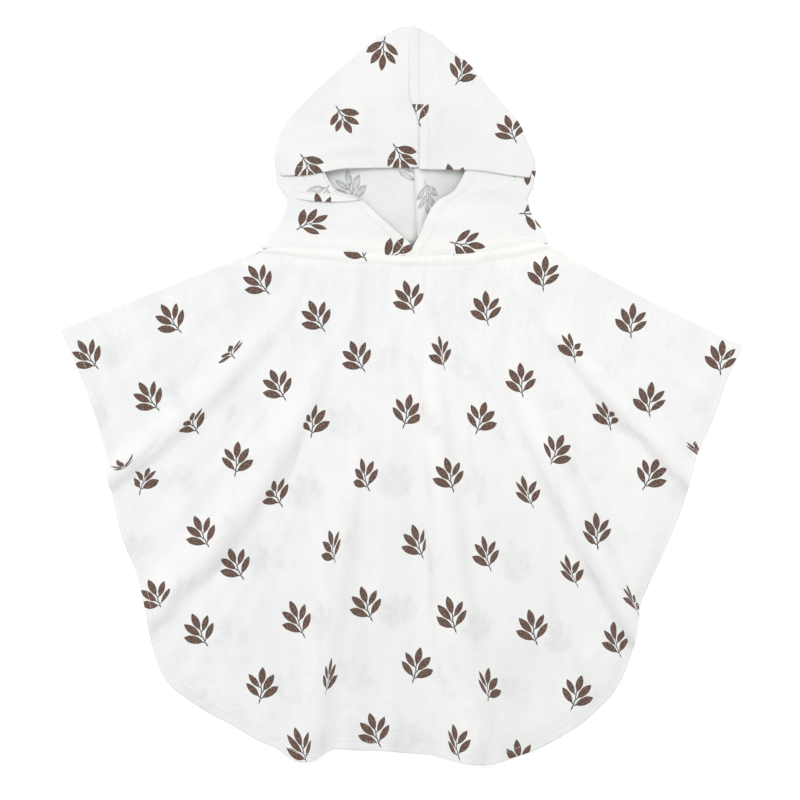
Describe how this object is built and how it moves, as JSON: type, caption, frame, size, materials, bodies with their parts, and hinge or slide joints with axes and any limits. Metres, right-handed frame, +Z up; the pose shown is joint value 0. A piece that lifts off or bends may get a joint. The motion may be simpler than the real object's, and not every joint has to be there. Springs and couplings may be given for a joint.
{
  "type": "hooded bath poncho",
  "caption": "Toddler's hooded bath poncho of printed cotton muslin, laid flat with the front up, loose folds fanning from the neck and the hood spread above it.",
  "frame": {"origin": "under the middle of the laid garment, on the surface that it lies on", "axes": "+Y towards the peak of the hood, +X to the right as the front is seen, +Z up through the cloth"},
  "size_m": [0.6484, 0.7057, 0.0187],
  "materials": {
    "muslin_body": "matt",
    "muslin_hood_left": "matt",
    "muslin_hood_right": "matt"
  },
  "bodies": {
    "root": {"body": "muslin_body", "hood_left": "muslin_hood_left", "hood_right": "muslin_hood_right"}
  },
  "joints": []
}
